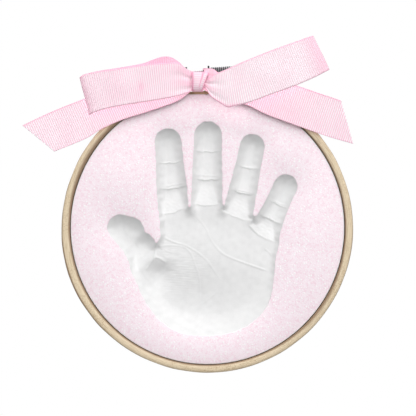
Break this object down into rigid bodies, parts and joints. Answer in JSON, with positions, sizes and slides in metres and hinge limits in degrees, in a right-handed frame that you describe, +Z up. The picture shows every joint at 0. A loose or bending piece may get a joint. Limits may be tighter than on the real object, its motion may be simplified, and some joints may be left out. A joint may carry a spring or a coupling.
{
  "type": "baby handprint frame",
  "caption": "Round wooden embroidery hoop filled with a glittered clay tile that holds a child's recessed handprint, with a clamp screw at the top and a grosgrain ribbon bow tied over it.",
  "frame": {"origin": "centre of the hoop on the plane of its back, which lies against the wall", "axes": "+Z up as it hangs, -Y towards the viewer, +X to the viewer's right"},
  "size_m": [0.1475, 0.0169, 0.1504],
  "materials": {
    "hoop_wood": "sanded pale bamboo, unvarnished",
    "board_card": "pressed card with a matt felt back",
    "print_clay": "matt air-dried clay",
    "glitter_pink": "pearly pink glitter coat",
    "lug_steel": "nickel-plated sheet steel",
    "screw_nickel": "bright nickel plate",
    "ribbon_grosgrain": "ribbed pale pink grosgrain"
  },
  "bodies": {
    "outer_frame": {"outer_hoop": "hoop_wood", "lug_left": "lug_steel", "lug_right": "lug_steel", "lug_rivets": "screw_nickel", "ribbon_knot": "ribbon_grosgrain", "ribbon_wrap": "ribbon_grosgrain", "ribbon_loop_left": "ribbon_grosgrain", "ribbon_loop_right": "ribbon_grosgrain", "ribbon_tail_left": "ribbon_grosgrain", "ribbon_tail_right": "ribbon_grosgrain"},
    "print_panel": {"inner_hoop": "hoop_wood", "backing_board": "board_card", "clay_tile": "print_clay", "glitter_coat": "glitter_pink"},
    "screw": {"clamp_screw": "screw_nickel"},
    "nut": {"clamp_nut": "screw_nickel"}
  },
  "joints": [
    {"name": "press_slide", "type": "slide", "parent": "outer_frame", "child": "print_panel", "axis": [0, 1, 0], "range_m": [0, 0.012]},
    {"name": "screw_turn", "type": "hinge", "parent": "outer_frame", "child": "screw", "pos_m": [-0.00439, -0.005, 0.06876], "axis": [0.998, 0, 0.0637], "range_deg": [0, 2160]},
    {"name": "nut_slide", "type": "slide", "parent": "outer_frame", "child": "nut", "axis": [-0.998, 0, -0.0637], "range_m": [0, 0.00275]}
  ],
  "couplings": [
    {"joint": "nut_slide", "follows": "screw_turn", "m_per_rad": 0.00007162}
  ]
}
